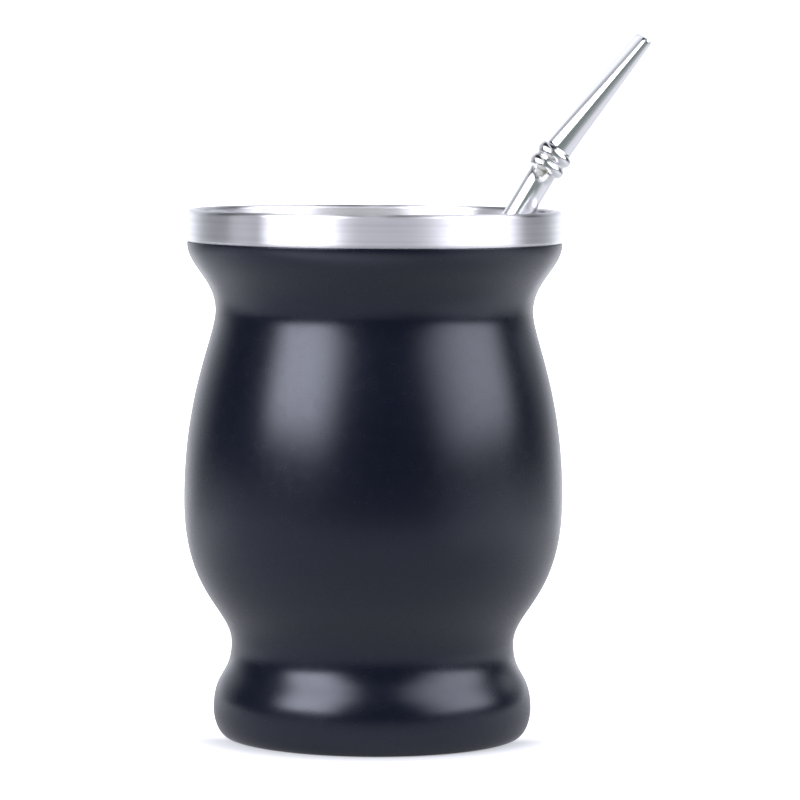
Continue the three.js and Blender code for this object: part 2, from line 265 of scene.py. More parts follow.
def inner_wall(cup, steps):
    """Inside face of the liner as radius and height, from the middle of the floor up to the mouth."""
    floor = (cup.floor_radius, cup.floor_height)
    return joined(
        straight((0.0, cup.floor_height), floor, 4),
        level_to_upright(*floor, cup.floor_rounding, cup.inner_belly, steps),
        wall_curve(cup.inner_belly, cup.inner_neck, steps),
        wall_curve(cup.inner_neck, cup.mouth_bottom, steps),
    )


def new_mesh_object(name, points, faces, corner_uv=None):
    """Smooth object from rows of points and arrays of quads and triangles. Each corner may have its UV."""
    mesh = bpy.data.meshes.new(name)
    corners = np.concatenate([face.ravel() for face in faces]).astype(np.int32)
    counts = np.concatenate([np.full(len(face), face.shape[1]) for face in faces])
    mesh.vertices.add(len(points))
    mesh.vertices.foreach_set("co", np.ascontiguousarray(points, np.float32).ravel())
    mesh.loops.add(len(corners))
    mesh.loops.foreach_set("vertex_index", corners)
    mesh.polygons.add(len(counts))
    mesh.polygons.foreach_set("loop_start", (np.cumsum(counts) - counts).astype(np.int32))
    mesh.update(calc_edges=True)
    mesh.polygons.foreach_set("use_smooth", np.ones(len(counts), bool))
    if corner_uv is not None:
        layer = mesh.uv_layers.new(name="surface")
        layer.data.foreach_set("uv", np.concatenate([uv.reshape(-1, 2) for uv in corner_uv]).ravel())
    mesh.validate()
    piece = bpy.data.objects.new(name, mesh)
    bpy.context.scene.collection.objects.link(piece)
    return piece


def corner_sets(grid):
    """The four corners of each cell of a grid."""
    return np.stack([grid[:-1, :-1], grid[:-1, 1:], grid[1:, 1:], grid[1:, :-1]], axis=2)


def grid_object(name, points, across, along, close_along=False):
    """Closed surface from a grid of points[along, across] that wraps across. across and along give each
    row's and column's UV in metres. A first or last row that lies on one point becomes a pole."""
    rows, columns = points.shape[:2]
    index = np.arange(rows * columns).reshape(rows, columns)
    for row in (0, rows - 1):
        if np.ptp(points[row], axis=0).max() < 1e-9:
            index[row] = index[row, 0]
    index = np.concatenate([index, index[:, :1]], axis=1)
    u = np.broadcast_to(across, (rows, columns + 1))
    v = np.broadcast_to(np.asarray(along)[:, None], (rows, columns + 1))
    if close_along:
        index = np.concatenate([index, index[:1]])
        u = np.concatenate([u, u[:1]])
        v = np.concatenate([v, v[-1:] + (v[-1:] - v[-2:-1])])
    quads = corner_sets(index).reshape(-1, 4)
    quad_uv = corner_sets(np.stack([u, v], axis=-1)).reshape(-1, 4, 2)
    low_pole = quads[:, 0] == quads[:, 1]
    high_pole = quads[:, 2] == quads[:, 3]
    whole = ~(low_pole | high_pole)
    faces = [quads[whole], quads[low_pole][:, [0, 2, 3]], quads[high_pole][:, [0, 1, 2]]]
    uvs = [quad_uv[whole], quad_uv[low_pole][:, [0, 2, 3]], quad_uv[high_pole][:, [0, 1, 2]]]
    used, renumbered = np.unique(np.concatenate([face.ravel() for face in faces]), return_inverse=True)
    sizes = np.cumsum([face.size for face in faces])[:-1]
    faces = [part.reshape(face.shape) for part, face in zip(np.split(renumbered, sizes), faces)]
    return new_mesh_object(name, points.reshape(-1, 3)[used], faces, uvs)


def turned_object(name, profile, columns):
    """Surface of revolution: (r(v) cos a, r(v) sin a, z(v)), with the angle a from 0 to a full turn."""
    points = round_points(profile[:, :1], ring_angles(columns), profile[:, 1:])
    steps = np.linalg.norm(np.diff(profile, axis=0), axis=1)
    along = np.concatenate([[0.0], np.cumsum(steps)])
    across = np.linspace(0.0, 2 * math.pi * profile[:, 0].max(), columns + 1)
    return grid_object(name, points, across, along)


def finish_piece(piece, material, slot, *nodes):
    """Gives a piece its material and its body, and hides the imported nodes that it stands for. The slot is
    not used.
    """
    piece.data.materials.append(material)
    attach(piece, BODY)
    if nodes:
        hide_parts(*nodes)


# Materials

def feed(node, **values):
    """Sets a node's sockets, or links each one whose value is another node's socket. A value whose name isn't
    a socket's is set on the node itself."""
    for name, value in values.items():
        socket = node.inputs.get(name.replace("_", " "))
        if socket is None:
            setattr(node, name, value)
        elif isinstance(value, bpy.types.NodeSocket):
            node.id_data.links.new(value, socket)
        else:
            socket.default_value = value


def add_node(tree, kind, **values):
    """Adds a node and feeds it its values and links."""
    node = tree.nodes.new(kind)
    feed(node, **values)
    return node


def new_material(name, **values):
    """Material with a Principled shader, whose plain values are set on the shader's own sockets."""
    material = bpy.data.materials.new(name)
    material.use_nodes = True
    shader = material.node_tree.nodes["Principled BSDF"]
    feed(shader, **values)
    return material, material.node_tree, shader


def own_place(tree):
    """Place in the object's own coordinates, in metres."""
    return add_node(tree, "ShaderNodeTexCoord").outputs["Object"]


def on_surface(tree):
    """Place on the surface from its UV map, in metres."""
    return add_node(tree, "ShaderNodeUVMap", uv_map="surface").outputs["UV"]


def noise(tree, place, scale, detail=2.0, stretch=(1.0, 1.0, 1.0)):
    """Noise at given places, with its grain stretched by a Mapping node."""
    moved = add_node(tree, "ShaderNodeMapping", Vector=place, Scale=stretch).outputs["Vector"]
    return add_node(tree, "ShaderNodeTexNoise", Vector=moved, Scale=scale, Detail=detail).outputs["Fac"]


def ranged(tree, value, low, high):
    """Value from 0.3 to 0.7, where noise mostly lies, mapped to low and high."""
    node = add_node(
        tree, "ShaderNodeMapRange", Value=value, From_Min=0.3, From_Max=0.7, To_Min=low, To_Max=high
    )
    return node.outputs["Result"]


def blended(tree, factor, first, second):
    """Two colours mixed by a factor."""
    node = add_node(tree, "ShaderNodeMix", data_type="RGBA", Factor=factor)
    for socket, value in ((node.inputs[MIX_FIRST], first), (node.inputs[MIX_SECOND], second)):
        if isinstance(value, bpy.types.NodeSocket):
            tree.links.new(value, socket)
        else:
            socket.default_value = (*value, 1.0)
    return node.outputs[MIX_RESULT]


def scaled(shade, factor):
    """A colour made lighter or darker."""
    return tuple(min(channel * factor, 1.0) for channel in shade)


def mottled(tree, pattern, shade, darker, lighter):
    """Shade that goes from a darker to a lighter share of itself as a noise pattern grows."""
    return blended(tree, ranged(tree, pattern, 0.0, 1.0), scaled(shade, darker), scaled(shade, lighter))


def bumped(shader, height, depth, strength):
    """Relief of a given depth in metres from a height between 0 and 1."""
    node = add_node(shader.id_data, "ShaderNodeBump", Strength=strength, Distance=depth, Height=height)
    feed(shader, Normal=node.outputs["Normal"])


def powder_coat(cup):
    """Satin powder coat: an even blue-black with a very fine pebbled grain and slightly uneven gloss."""
    material, tree, shader = new_material("blue_black_powder_coat", Roughness=0.26, Specular_IOR_Level=0.6)
    place = own_place(tree)
    paint = mottled(tree, noise(tree, place, 55.0, 4.0), cup.paint, 0.92, 1.1)
    gloss = ranged(tree, noise(tree, place, 420.0, 3.0), 0.25, 0.28)
    feed(shader, Specular_Tint=(0.88, 0.90, 1.0, 1.0), Base_Color=paint, Roughness=gloss)
    bumped(shader, noise(tree, place, 2600.0), depth=0.00004, strength=0.05)
    return material


def brushed_steel(cup):
    """Bare steel brushed round the axis: long fine scratches that spread the light upwards and downwards."""
    material, tree, shader = new_material(
        "brushed_rim_steel", Metallic=1.0, Roughness=0.40, Anisotropic=1.0, Anisotropic_Rotation=0.25
    )
    place = on_surface(tree)
    scratches = noise(tree, place, 1.0, 5.0, (38.0, 5200.0, 1.0))
    bands = noise(tree, place, 1.0, 3.0, (10.0, 1100.0, 1.0))
    steel = mottled(tree, bands, cup.steel, 0.90, 1.06)
    feed(shader, Base_Color=steel, Roughness=ranged(tree, scratches, 0.29, 0.36))
    bumped(shader, scratches, depth=0.00003, strength=0.5)
    return material


def polished_steel(straw):
    """Polished steel of the straw, with faint draw lines along the tube."""
    material, tree, shader = new_material("polished_straw_steel", Metallic=1.0, Roughness=0.18)
    lines = noise(tree, on_surface(tree), 1.0, 4.0, (5200.0, 45.0, 1.0))
    steel = mottled(tree, lines, straw.steel, 0.96, 1.02)
    feed(shader, Base_Color=steel, Roughness=ranged(tree, lines, 0.16, 0.20))
    bumped(shader, lines, depth=0.00001, strength=0.15)
    return material


def tinted_matter(name, tint, grain, depth, roughness):
    """Plant matter or foam, coloured by the piece's own tint attribute with a fine mottle over it."""
    material, tree, shader = new_material(name, Roughness=roughness)
    own = add_node(tree, "ShaderNodeAttribute", attribute_name="tint").outputs["Color"]
    mottle = noise(tree, own_place(tree), grain, 4.0)
    feed(shader, Base_Color=blended(tree, ranged(tree, mottle, 0.0, 0.35), own, tint))
    bumped(shader, mottle, depth, strength=0.5)
    return material


def brew_liquid(drink):
    """Clouded green-gold brew with a wet, even surface."""
    material, tree, shader = new_material("green_gold_brew", Roughness=0.06)
    place = own_place(tree)
    feed(shader, Base_Color=mottled(tree, noise(tree, place, 190.0, 3.0), drink.brew, 0.7, 1.35))
    bumped(shader, noise(tree, place, 160.0, 1.0), depth=0.0002, strength=0.15)
    return material


# The cup

class MATE_OT_cup_body(bpy.types.Operator):
    """Add the painted shell: foot, waist, belly and flared neck, with a flat underside"""

    bl_idname = "mate.cup_body"
    bl_label = "Painted shell"

    def execute(self, context):
        cup = context.scene.mate_cup
        edge = cup.paint_edge
        edge_rounding = 0.15 * MM
        bore = offset_profile(inner_wall(cup, 16), cup.liner_wall + cup.liner_gap)
        bore = bore[bore[:, 1] < edge[1] - MM]
        inside_radius = cup.mouth_bottom[0] + cup.liner_wall + cup.liner_gap
        top = (edge[0], edge[1] - edge_rounding, edge[2], 0.0)
        corner = edge[:2]
        profile = joined(
            straight((0.0, 0.0), (cup.resting_radius, 0.0), 6),
            level_to_upright(cup.resting_radius, 0.0, cup.foot_rounding, cup.foot, 26),
            wall_curve(cup.foot, cup.waist, 38),
            wall_curve(cup.waist, cup.belly, 50),
            wall_curve(cup.belly, cup.neck, 50),
            wall_curve(cup.neck, top, 34),
            bezier(top[:2], corner, corner, (edge[0] - edge_rounding, edge[1]), 4),
            straight((edge[0] - edge_rounding, edge[1]), (inside_radius, edge[1]), 2),
        )
        piece = turned_object(SHELL, np.concatenate([profile, bore[::-1]]), 320)
        finish_piece(piece, powder_coat(cup), "powder_coat", "cup_body")
        return {"FINISHED"}


class MATE_OT_steel_liner(bpy.types.Operator):
    """Add the steel liner, rolled over a round lip into the bare band outside the rim"""

    bl_idname = "mate.steel_liner"
    bl_label = "Steel liner and rim band"

    def execute(self, context):
        cup = context.scene.mate_cup
        outer, bottom, chamfer = cup.band_radius, cup.band_bottom, cup.band_chamfer
        inside = inner_wall(cup, 34)
        outside = offset_profile(inside, cup.liner_wall)
        outside = outside[outside[:, 1] < bottom - MM]
        lip_radius = cup.lip_width / 2
        turn = np.linspace(0.0, math.pi, 33)
        lip_middle = np.array([outer - lip_radius, cup.rim_height - lip_radius])
        lip = lip_middle + lip_radius * np.stack([np.cos(turn), np.sin(turn)], axis=1)
        inset = outer - 0.3 * chamfer
        corner_cut = 0.05 * MM
        chamfer_top = (outer, bottom + 1.3 * chamfer)
        band = joined(
            straight((cup.mouth_bottom[0] + cup.liner_wall, bottom), (inset - corner_cut, bottom), 3),
            straight((inset - corner_cut, bottom), (inset, bottom + corner_cut), 2),
            bezier(
                (inset, bottom + corner_cut),
                (inset + 0.15 * chamfer, bottom + 0.5 * chamfer),
                (outer, bottom + 0.8 * chamfer),
                chamfer_top,
                8,
            ),
            straight(chamfer_top, lip[0], 10),
            lip,
            straight(lip[-1], cup.mouth_bottom[:2], 6),
        )
        profile = np.concatenate([outside, band, inside[::-1][1:]])
        piece = turned_object(BAND, profile, 360)
        finish_piece(piece, brushed_steel(cup), "brushed_steel", "steel_liner")
        return {"FINISHED"}


# The straw

def smooth_step(value, start, end):
    """3t^2 - 2t^3, where t runs from 0 at start to 1 at end."""
    t = np.clip((value - start) / (end - start), 0.0, 1.0)
    return t * t * (3 - 2 * t)


def straw_axis(straw, distance):
    """Middle line of the straw at distances from its lower end, and the direction across it in its upright
    plane. An arc joins two straight runs: its place is the integral of (sin, cos) of a lean that grows."""
    lean_low, lean_high = straw.stem_lean, straw.mouthpiece_lean
    bend_start = straw.stem_length - straw.bend_length / 2
    bend_radius = straw.bend_length / (lean_high - lean_low)
    lean = lean_low + np.clip(distance - bend_start, 0.0, straw.bend_length) / bend_radius
    before = np.minimum(distance, bend_start) - straw.stem_length
    after = np.maximum(distance - bend_start - straw.bend_length, 0.0)
    bent_across = bend_radius * (math.cos(lean_low) - np.cos(lean))
    bent_up = bend_radius * (np.sin(lean) - math.sin(lean_low))
    sideways = straw.collar_x + before * math.sin(lean_low) + bent_across + after * np.sin(lean)
    upwards = straw.collar_height + before * math.cos(lean_low) + bent_up + after * np.cos(lean)
    place = np.stack([sideways, np.full_like(distance, straw.side_offset), upwards], axis=-1)
    across = np.stack([np.cos(lean), np.zeros_like(distance), -np.sin(lean)], axis=-1)
    return place, across


def straw_profile(straw):
    """Tube profile as raised height over the stem's radius, and distance along the straw. Each bead of the
    collar is raised by sin(pi t) to the power 3/5, with a shallow groove between beads."""
    collar_half = straw.bead_count * straw.bead_pitch / 2
    collar_start = straw.stem_length - collar_half
    end = straw.stem_length + straw.mouthpiece_length
    bead_steps = 26
    t = np.arange(straw.bead_count * bead_steps + 1) / bead_steps
    swell = np.abs(np.sin(math.pi * t)) ** 0.6
    inner_groove = (t > 0.5) & (t < straw.bead_count - 0.5)
    swell = np.where(inner_groove, np.maximum(swell, 0.4), swell)
    collar = np.stack([straw.bead_height * swell, collar_start + straw.bead_pitch * t], axis=1)
    edge = straw.wall / 2
    turn = np.linspace(0.0, math.pi, 9)
    tip = np.stack([edge * np.cos(turn) - edge, end - edge + edge * np.sin(turn)], axis=1)
    foot = np.stack([-edge - edge * np.cos(turn), edge - edge * np.sin(turn)], axis=1)
    rounding_start = end - straw.tip_rounding
    outside = joined(
        straight((0.0, edge), (0.0, collar_start), 40),
        collar,
        straight((0.0, collar_start + 2 * collar_half), (0.0, rounding_start), 60),
        straight((0.0, rounding_start), (0.0, end - edge), 8),
        tip,
    )
    inside = joined(
        straight((-straw.wall, end - edge), (-straw.wall, rounding_start), 8),
        straight((-straw.wall, rounding_start), (-straw.wall, edge), 90),
    )
    profile = np.concatenate([outside, inside[1:], foot[1:-1]])
    near_end = np.clip((profile[:, 1] - rounding_start) / straw.tip_rounding, 0.0, 1.0)
    profile[:, 0] -= straw.tip_turn_in * (1 - np.sqrt(1 - near_end**2))
    return profile


class MATE_OT_bombilla(bpy.types.Operator):
    """Add the metal straw: a round stem, a collar of beads at the bend and a mouthpiece pressed flat"""

    bl_idname = "mate.bombilla"
    bl_label = "Metal straw"

    def execute(self, context):
        straw = context.scene.mate_straw
        profile = straw_profile(straw)
        raised, distance = profile[:, 0], profile[:, 1]
        columns = 72
        angle = ring_angles(columns)
        collar_end = straw.stem_length + straw.bead_count * straw.bead_pitch / 2
        end = straw.stem_length + straw.mouthpiece_length
        flat = smooth_step(distance, collar_end, end)
        even = np.clip((distance - collar_end) / (end - collar_end), 0.0, 1.0)
        thin = straw.stem_radius + (straw.tip_half_thickness - straw.stem_radius) * even + raised
        wide = straw.stem_radius + (straw.tip_half_width - straw.stem_radius) * flat + raised
        # A ring is thin |cos a|^p one way and wide |sin a|^p the other, with the signs of cos and sin
        power = (2 / (2 + 0.8 * flat))[:, None]
        cosine, sine = (np.sign(wave) * np.abs(wave) ** power for wave in (np.cos(angle), np.sin(angle)))
        place, across = straw_axis(straw, distance)
        level = np.array([0.0, 1.0, 0.0])
        roll = straw.mouthpiece_roll
        thin_way = across * math.cos(roll) + level * math.sin(roll)
        wide_way = level * math.cos(roll) - across * math.sin(roll)
        points = (
            place[:, None]
            + thin_way[:, None] * (cosine * thin[:, None])[:, :, None]
            + wide_way[:, None] * (sine * wide[:, None])[:, :, None]
        )
        girth = np.linspace(0.0, 2 * math.pi * straw.stem_radius, columns + 1)
        piece = grid_object(STRAW, points, girth, distance, close_along=True)
        finish_piece(piece, polished_steel(straw), "polished_steel", "bombilla")
        return {"FINISHED"}


# The drink

def leaf_height(drink, x, y):
    """Height of the leaves' surface: middle - rise tanh(along / run), with low waves on it and finer ones
    where the bank is dry. The waves are sines of x and y in millimetres."""
    along = x * math.cos(drink.slope_heading) + y * math.sin(drink.slope_heading)
    bank = drink.leaf_middle - drink.leaf_rise * np.tanh(along / drink.slope_run)
    u, v = x / MM, y / MM
    swell = 0.55 * np.sin(0.31 * u + 1.3) * np.cos(0.27 * v - 0.4)
    ripple = 0.35 * np.sin(1.05 * u - 0.7 * v) + 0.3 * np.cos(0.8 * u + 1.15 * v + 0.6)
    dry = smooth_step(bank, drink.brew_level, drink.brew_level + 2 * MM)
    return bank + MM * (swell + ripple * dry)


def crumbled(x, y):
    """Fine relief, mostly between -1 and 1: a sum of products of two sines across each other, in turned
    directions, each finer and weaker than the last."""
    total = np.zeros_like(x)
    for step in range(9):
        turn = 2.4 * step
        pitch = 900.0 * 1.32**step
        wave = np.sin(pitch * (x * math.cos(turn) + y * math.sin(turn)) + 1.7 * step)
        total += 0.8**step * wave * np.sin(0.83 * pitch * (x * math.sin(turn) - y * math.cos(turn)) + step)
    return total / 2.4


def wall_radius(cup, height):
    """Inside radius of the liner at a height."""
    wall = inner_wall(cup, 40)[5:]
    return np.interp(height, wall[:, 1], wall[:, 0])


def set_tint(piece, tints):
    """Writes a colour for each vertex as the attribute tint."""
    attribute = piece.data.attributes.new("tint", "FLOAT_COLOR", "POINT")
    colours = np.concatenate([tints, np.ones((len(tints), 1))], axis=1)
    attribute.data.foreach_set("color", colours.astype(np.float32).ravel())


def scattered(drink, cup, draw, count, lowest, reach):
    """Places on the leaves' surface, spread evenly by area, as rows of x, y and z. Those lower than a height
    and those at the wall are left out."""
    radius = reach * np.sqrt(draw.random(count))
    angle = 2 * math.pi * draw.random(count)
    x, y = radius * np.cos(angle), radius * np.sin(angle)
    z = leaf_height(drink, x, y)
    inside = (z > lowest) & (radius < wall_radius(cup, z) - 0.9 * MM)
    return np.stack([x, y, z], axis=1)[inside]


def varied(draw, count, low, spread, power=1):
    """Random values from low to low + spread. The higher the power, the more of them are near low."""
    return low + spread * draw.random(count) ** power


def rotations(angles, axis):
    """Matrices [row, column, n] of turns about the axis 0, 1 or 2, one for each angle."""
    first, second = (axis + 1) % 3, (axis + 2) % 3
    matrices = np.zeros((3, 3, len(angles)))
    matrices[axis, axis] = 1.0
    matrices[first, first] = matrices[second, second] = np.cos(angles)
    matrices[first, second], matrices[second, first] = -np.sin(angles), np.sin(angles)
    return matrices


def tumbled(shapes, draw, tilt):
    """Shapes tilted by random angles about Y and X, and then turned by any angle about Z."""
    count = len(shapes)
    heading = 2 * math.pi * draw.random(count)
    lean = tilt * draw.standard_normal(count)
    roll = tilt * draw.standard_normal(count)
    turns = np.einsum("ijn,jkn,kln->nil", rotations(heading, 2), rotations(lean, 0), rotations(roll, 1))
    return np.einsum("nij,npj->npi", turns, shapes)


def with_ends(shapes, axis, low, high):
    """Shapes with their two closing points added, which lie on one axis at low and at high."""
    ends = np.zeros((len(shapes), 2, 3))
    ends[:, 0, axis], ends[:, 1, axis] = low, high
    return np.concatenate([shapes, ends], axis=1)


def copies(name, shapes, faces, places, tints):
    """One object of many shapes: shapes[n, point, xyz], one set of faces, and the place of each."""
    points = shapes + places[:, None]
    per_shape = shapes.shape[1]
    starts = np.arange(len(shapes)) * per_shape
    all_faces = [(face[None] + starts[:, None, None]).reshape(-1, face.shape[1]) for face in faces]
    piece = new_mesh_object(name, points.reshape(-1, 3), all_faces)
    set_tint(piece, np.repeat(tints, per_shape, axis=0))
    return piece


def tube_faces(sides, rings):
    """Quads of a tube of rings, and the fans that close it at two pole points, which come last."""
    ring = np.arange(sides)
    after = (ring + 1) % sides
    quads = [
        np.stack([ring, after, after + sides, ring + sides], axis=1) + row * sides for row in range(rings - 1)
    ]
    low, high = rings * sides, rings * sides + 1
    top = (rings - 1) * sides
    fans = [
        np.stack([after, ring, np.full(sides, low)], axis=1),
        np.stack([ring + top, after + top, np.full(sides, high)], axis=1),
    ]
    return [np.concatenate(quads), np.concatenate(fans)]


class MATE_OT_leaves(bpy.types.Operator):
    """Add the bank of ground leaves, with its loose flakes and stalks"""

    bl_idname = "mate.leaves"
    bl_label = "Leaves"

    def bank(self, cup, drink):
        """Core: its top is leaf_height with fine relief, and its side follows the liner down to the floor."""
        columns, rings = 300, 96
        angle = ring_angles(columns)
        rim = np.full(columns, cup.inner_neck[0])
        for _ in range(6):
            height = leaf_height(drink, rim * np.cos(angle), rim * np.sin(angle))
            rim = wall_radius(cup, height) - cup.liner_gap
        share = np.linspace(0.0, 1.0, rings)[:, None]
        x, y = share * rim * np.cos(angle), share * rim * np.sin(angle)
        height = leaf_height(drink, x, y)
        dry = smooth_step(height, drink.brew_level - 0.5 * MM, drink.brew_level + 1.5 * MM)
        relief = 0.28 * MM
        height = height + relief * crumbled(x, y) * (0.4 + 0.6 * dry)
        top = np.stack([x, y, height], axis=-1)
        low = inner_wall(cup, 12)[::-1]
        low = low[low[:, 1] < height[-1].min() - 2 * MM]
        side = round_points((low[:, :1] - cup.liner_gap).clip(0.0), angle, low[:, 1:] + cup.liner_gap)
        points = np.concatenate([top, side])[::-1]
        piece = grid_object("leaf_bank", points, np.linspace(0, 1, columns + 1), np.arange(len(points)) * MM)
        wet = np.array(scaled(drink.leaf, 0.42))
        co = np.empty(len(piece.data.vertices) * 3)
        piece.data.vertices.foreach_get("co", co)
        level = co.reshape(-1, 3)[:, 2]
        dryness = smooth_step(level, drink.brew_level + 0.2 * MM, drink.brew_level + 2.2 * MM)[:, None]
        set_tint(piece, wet + (np.array(drink.leaf) - wet) * dryness)
        return piece

    def flakes(self, cup, drink, draw):
        """Bits of leaf: thin curled plates. Each is z = curl (x^2 - y^2 / 2) over an uneven outline."""
        places = scattered(drink, cup, draw, drink.flake_count, drink.brew_level + 0.3 * MM, cup.band_radius)
        count = len(places)
        sides = 7
        angle = ring_angles(sides)
        size = varied(draw, count, 0.35, 0.95, 2.2)[:, None] * MM
        outline = 1 + 0.35 * draw.standard_normal((count, sides)).clip(-1.6, 1.6)
        stretch = varied(draw, count, 0.5, 0.5)[:, None]
        x = size * outline * np.cos(angle)
        y = size * outline * np.sin(angle) * stretch
        curl = (0.25 * draw.standard_normal(count))[:, None] / MM
        bend = curl * (x * x - y * y / 2)
        half = 0.09 * MM
        rims = np.concatenate([np.stack([x, y, bend + lift], axis=-1) for lift in (-half, half)], axis=1)
        shapes = tumbled(with_ends(rims, 2, -half, half), draw, 0.45)
        places[:, 2] += varied(draw, count, 0.25, 0.35) * MM
        shade = varied(draw, count, 0.55, 0.9)[:, None]
        warm = draw.random(count)[:, None]
        tints = shade * (np.array(drink.leaf) * (1 - 0.5 * warm) + 0.5 * warm * np.array(drink.stalk) * 0.75)
        wet = 1 - smooth_step(places[:, 2:], drink.brew_level + MM, drink.brew_level + 3 * MM)
        tints = (tints * (1 - 0.5 * wet)).clip(0, 1)
        return copies("leaf_flakes", shapes, tube_faces(sides, 2), places, tints)

    def stalks(self, cup, drink, draw):
        """Bits of stalk: round rods with a slight bow, x = bow t^2, along their own y."""
        places = scattered(drink, cup, draw, drink.stalk_count, drink.brew_level + 0.5 * MM, cup.band_radius)
        places = places[np.hypot(places[:, 0], places[:, 1]) < wall_radius(cup, places[:, 2]) - 4.2 * MM]
        count = len(places)
        sides, rings = 8, 5
        angle = ring_angles(sides)
        t = np.linspace(-1.0, 1.0, rings)[None, :, None]
        radius = varied(draw, count, 0.22, 0.5, 2)[:, None, None] * MM
        half = varied(draw, count, 1.2, 2.8, 1.5)[:, None, None] * MM
        bow = 0.12 * MM * draw.standard_normal(count)[:, None, None]
        girth = radius * (1 - 0.12 * t) * np.ones((1, 1, sides))
        x = girth * np.cos(angle) + bow * t * t
        z = girth * np.sin(angle)
        y = -half * t * np.ones((1, 1, sides))
        rods = np.stack([x, y, z], axis=-1).reshape(count, -1, 3)
        tip = 1.02 * half[:, 0, 0]
        shapes = with_ends(rods, 1, tip, -tip)
        shapes[:, -2:, 0] = bow[:, 0]
        shapes = tumbled(shapes, draw, 0.2)
        places[:, 2] += 0.45 * MM
        tints = varied(draw, (count, 1), 0.45, 0.65) * np.array(drink.stalk)
        return copies("leaf_stalks", shapes, tube_faces(sides, rings), places, tints.clip(0, 1))

    def execute(self, context):
        scene = context.scene
        cup, drink = scene.mate_cup, scene.mate_drink
        draw = np.random.default_rng(11)
        leaf = tinted_matter("ground_leaf", drink.leaf, 1900.0, 0.0003, 0.92)
        stalk = tinted_matter("dry_stalk", drink.stalk, 1400.0, 0.0001, 0.8)
        finish_piece(self.bank(cup, drink), leaf, "leaf", "yerba_mate")
        finish_piece(self.flakes(cup, drink, draw), leaf, "leaf", "yerba_mate")
        finish_piece(self.stalks(cup, drink, draw), stalk, "leaf", "yerba_mate")
        return {"FINISHED"}


def shore(drink, y):
    """Where the brew's level meets the leaves, as x for each y, found by halving a span."""
    low, high = np.full_like(y, -30 * MM), np.full_like(y, 30 * MM)
    for _ in range(40):
        middle = (low + high) / 2
        dry = leaf_height(drink, middle, y) > drink.brew_level - 0.25 * MM
        low, high = np.where(dry, middle, low), np.where(dry, high, middle)
    return (low + high) / 2


class MATE_OT_brew(bpy.types.Operator):
    """Add the brew over the low side of the leaves, with its foam"""

    bl_idname = "mate.brew"
    bl_label = "Brew and foam"

    def pool(self, cup, drink):
        """Level surface between the shore and the wall, raised by exp(-distance / 0.7 mm) where it wets the
        wall, over a bed that follows the leaves. x runs from the shore to the wall for each y, and the top
        meets the bed along the edge."""
        rows, columns = 110, 90
        wall = float(wall_radius(cup, drink.brew_level)) - 0.1 * MM
        y = np.linspace(-1.0, 1.0, rows) * wall * 0.985
        x_wall = np.sqrt(wall * wall - y * y)
        x_shore = np.minimum(shore(drink, y), x_wall - 0.05 * MM)
        share = np.linspace(0.0, 1.0, columns)
        x = x_shore[:, None] + (x_wall - x_shore)[:, None] * share
        y = np.broadcast_to(y[:, None], x.shape)
        from_wall = wall - np.hypot(x, y)
        climb = 0.35 * MM * np.exp(-from_wall / (0.7 * MM))
        bed = np.minimum(leaf_height(drink, x, y) - 0.2 * MM, drink.brew_level - 0.3 * MM)
        top = np.stack([x, y, drink.brew_level + climb], axis=-1)
        bottom = np.stack([x, y, bed], axis=-1)
        points = np.concatenate([top.reshape(-1, 3), bottom.reshape(-1, 3)])
        index = np.arange(rows * columns).reshape(rows, columns)
        upper = corner_sets(index).reshape(-1, 4)
        lower = upper[:, ::-1] + rows * columns
        edge = np.concatenate([index[0, :-1], index[:-1, -1], index[-1, :0:-1], index[:0:-1, 0]])
        after = np.roll(edge, -1)
        side = np.stack([edge, edge + rows * columns, after + rows * columns, after], axis=1)
        return new_mesh_object("brew_pool", points, [upper, lower, side])

    def bubbles(self, cup, drink, straw, draw):
        """Foam: domes (r cos a cos b, r sin a cos b, r sin b), thick at the wall, the shore and the straw."""
        wall = float(wall_radius(cup, drink.brew_level))
        count = drink.bubble_count
        x = wall * (2 * draw.random(count) - 1)
        y = wall * (2 * draw.random(count) - 1)
        foot, _ = straw_axis(straw, np.array([straw.stem_length]))
        drop = straw.collar_height - drink.brew_level
        stem_x = foot[0, 0] - drop * math.tan(straw.stem_lean)
        from_wall = wall - np.hypot(x, y)
        from_shore = x - shore(drink, y)
        from_stem = np.hypot(x - stem_x, y - straw.side_offset) - straw.stem_radius
        nearest = np.minimum(np.minimum(from_wall, from_shore), from_stem)
        thick = np.exp(-nearest / (1.3 * MM)) + 0.012
        keep = (nearest > 0.3 * MM) & (draw.random(count) < thick)
        places = np.stack([x, y, np.full(count, drink.brew_level)], axis=1)[keep]
        count = len(places)
        size = (varied(draw, count, 0.2, 0.75, 4) * MM)[:, None, None]
        sides, rings = 8, 4
        rise = np.linspace(0.0, 1.25, rings)[None, :, None]
        sunk = 0.05 * MM
        dome = round_points(size * np.cos(rise), ring_angles(sides), size * 0.8 * np.sin(rise) - sunk)
        shapes = with_ends(dome.reshape(count, -1, 3), 2, -sunk, size[:, 0, 0] * 0.8 - sunk)
        tints = varied(draw, (count, 1), 0.7, 0.45) * np.array(drink.foam)
        return copies("foam_bubbles", shapes, tube_faces(sides, rings), places, tints.clip(0, 1))

    def execute(self, context):
        scene = context.scene
        cup, drink, straw = scene.mate_cup, scene.mate_drink, scene.mate_straw
        draw = np.random.default_rng(5)
        foam = tinted_matter("pale_foam", drink.foam, 2600.0, 0.00005, 0.22)
        finish_piece(self.pool(cup, drink), brew_liquid(drink), "brew", "mate_infusion")
        finish_piece(self.bubbles(cup, drink, straw, draw), foam, "brew", "mate_infusion")
        return {"FINISHED"}


# Stage, light and camera

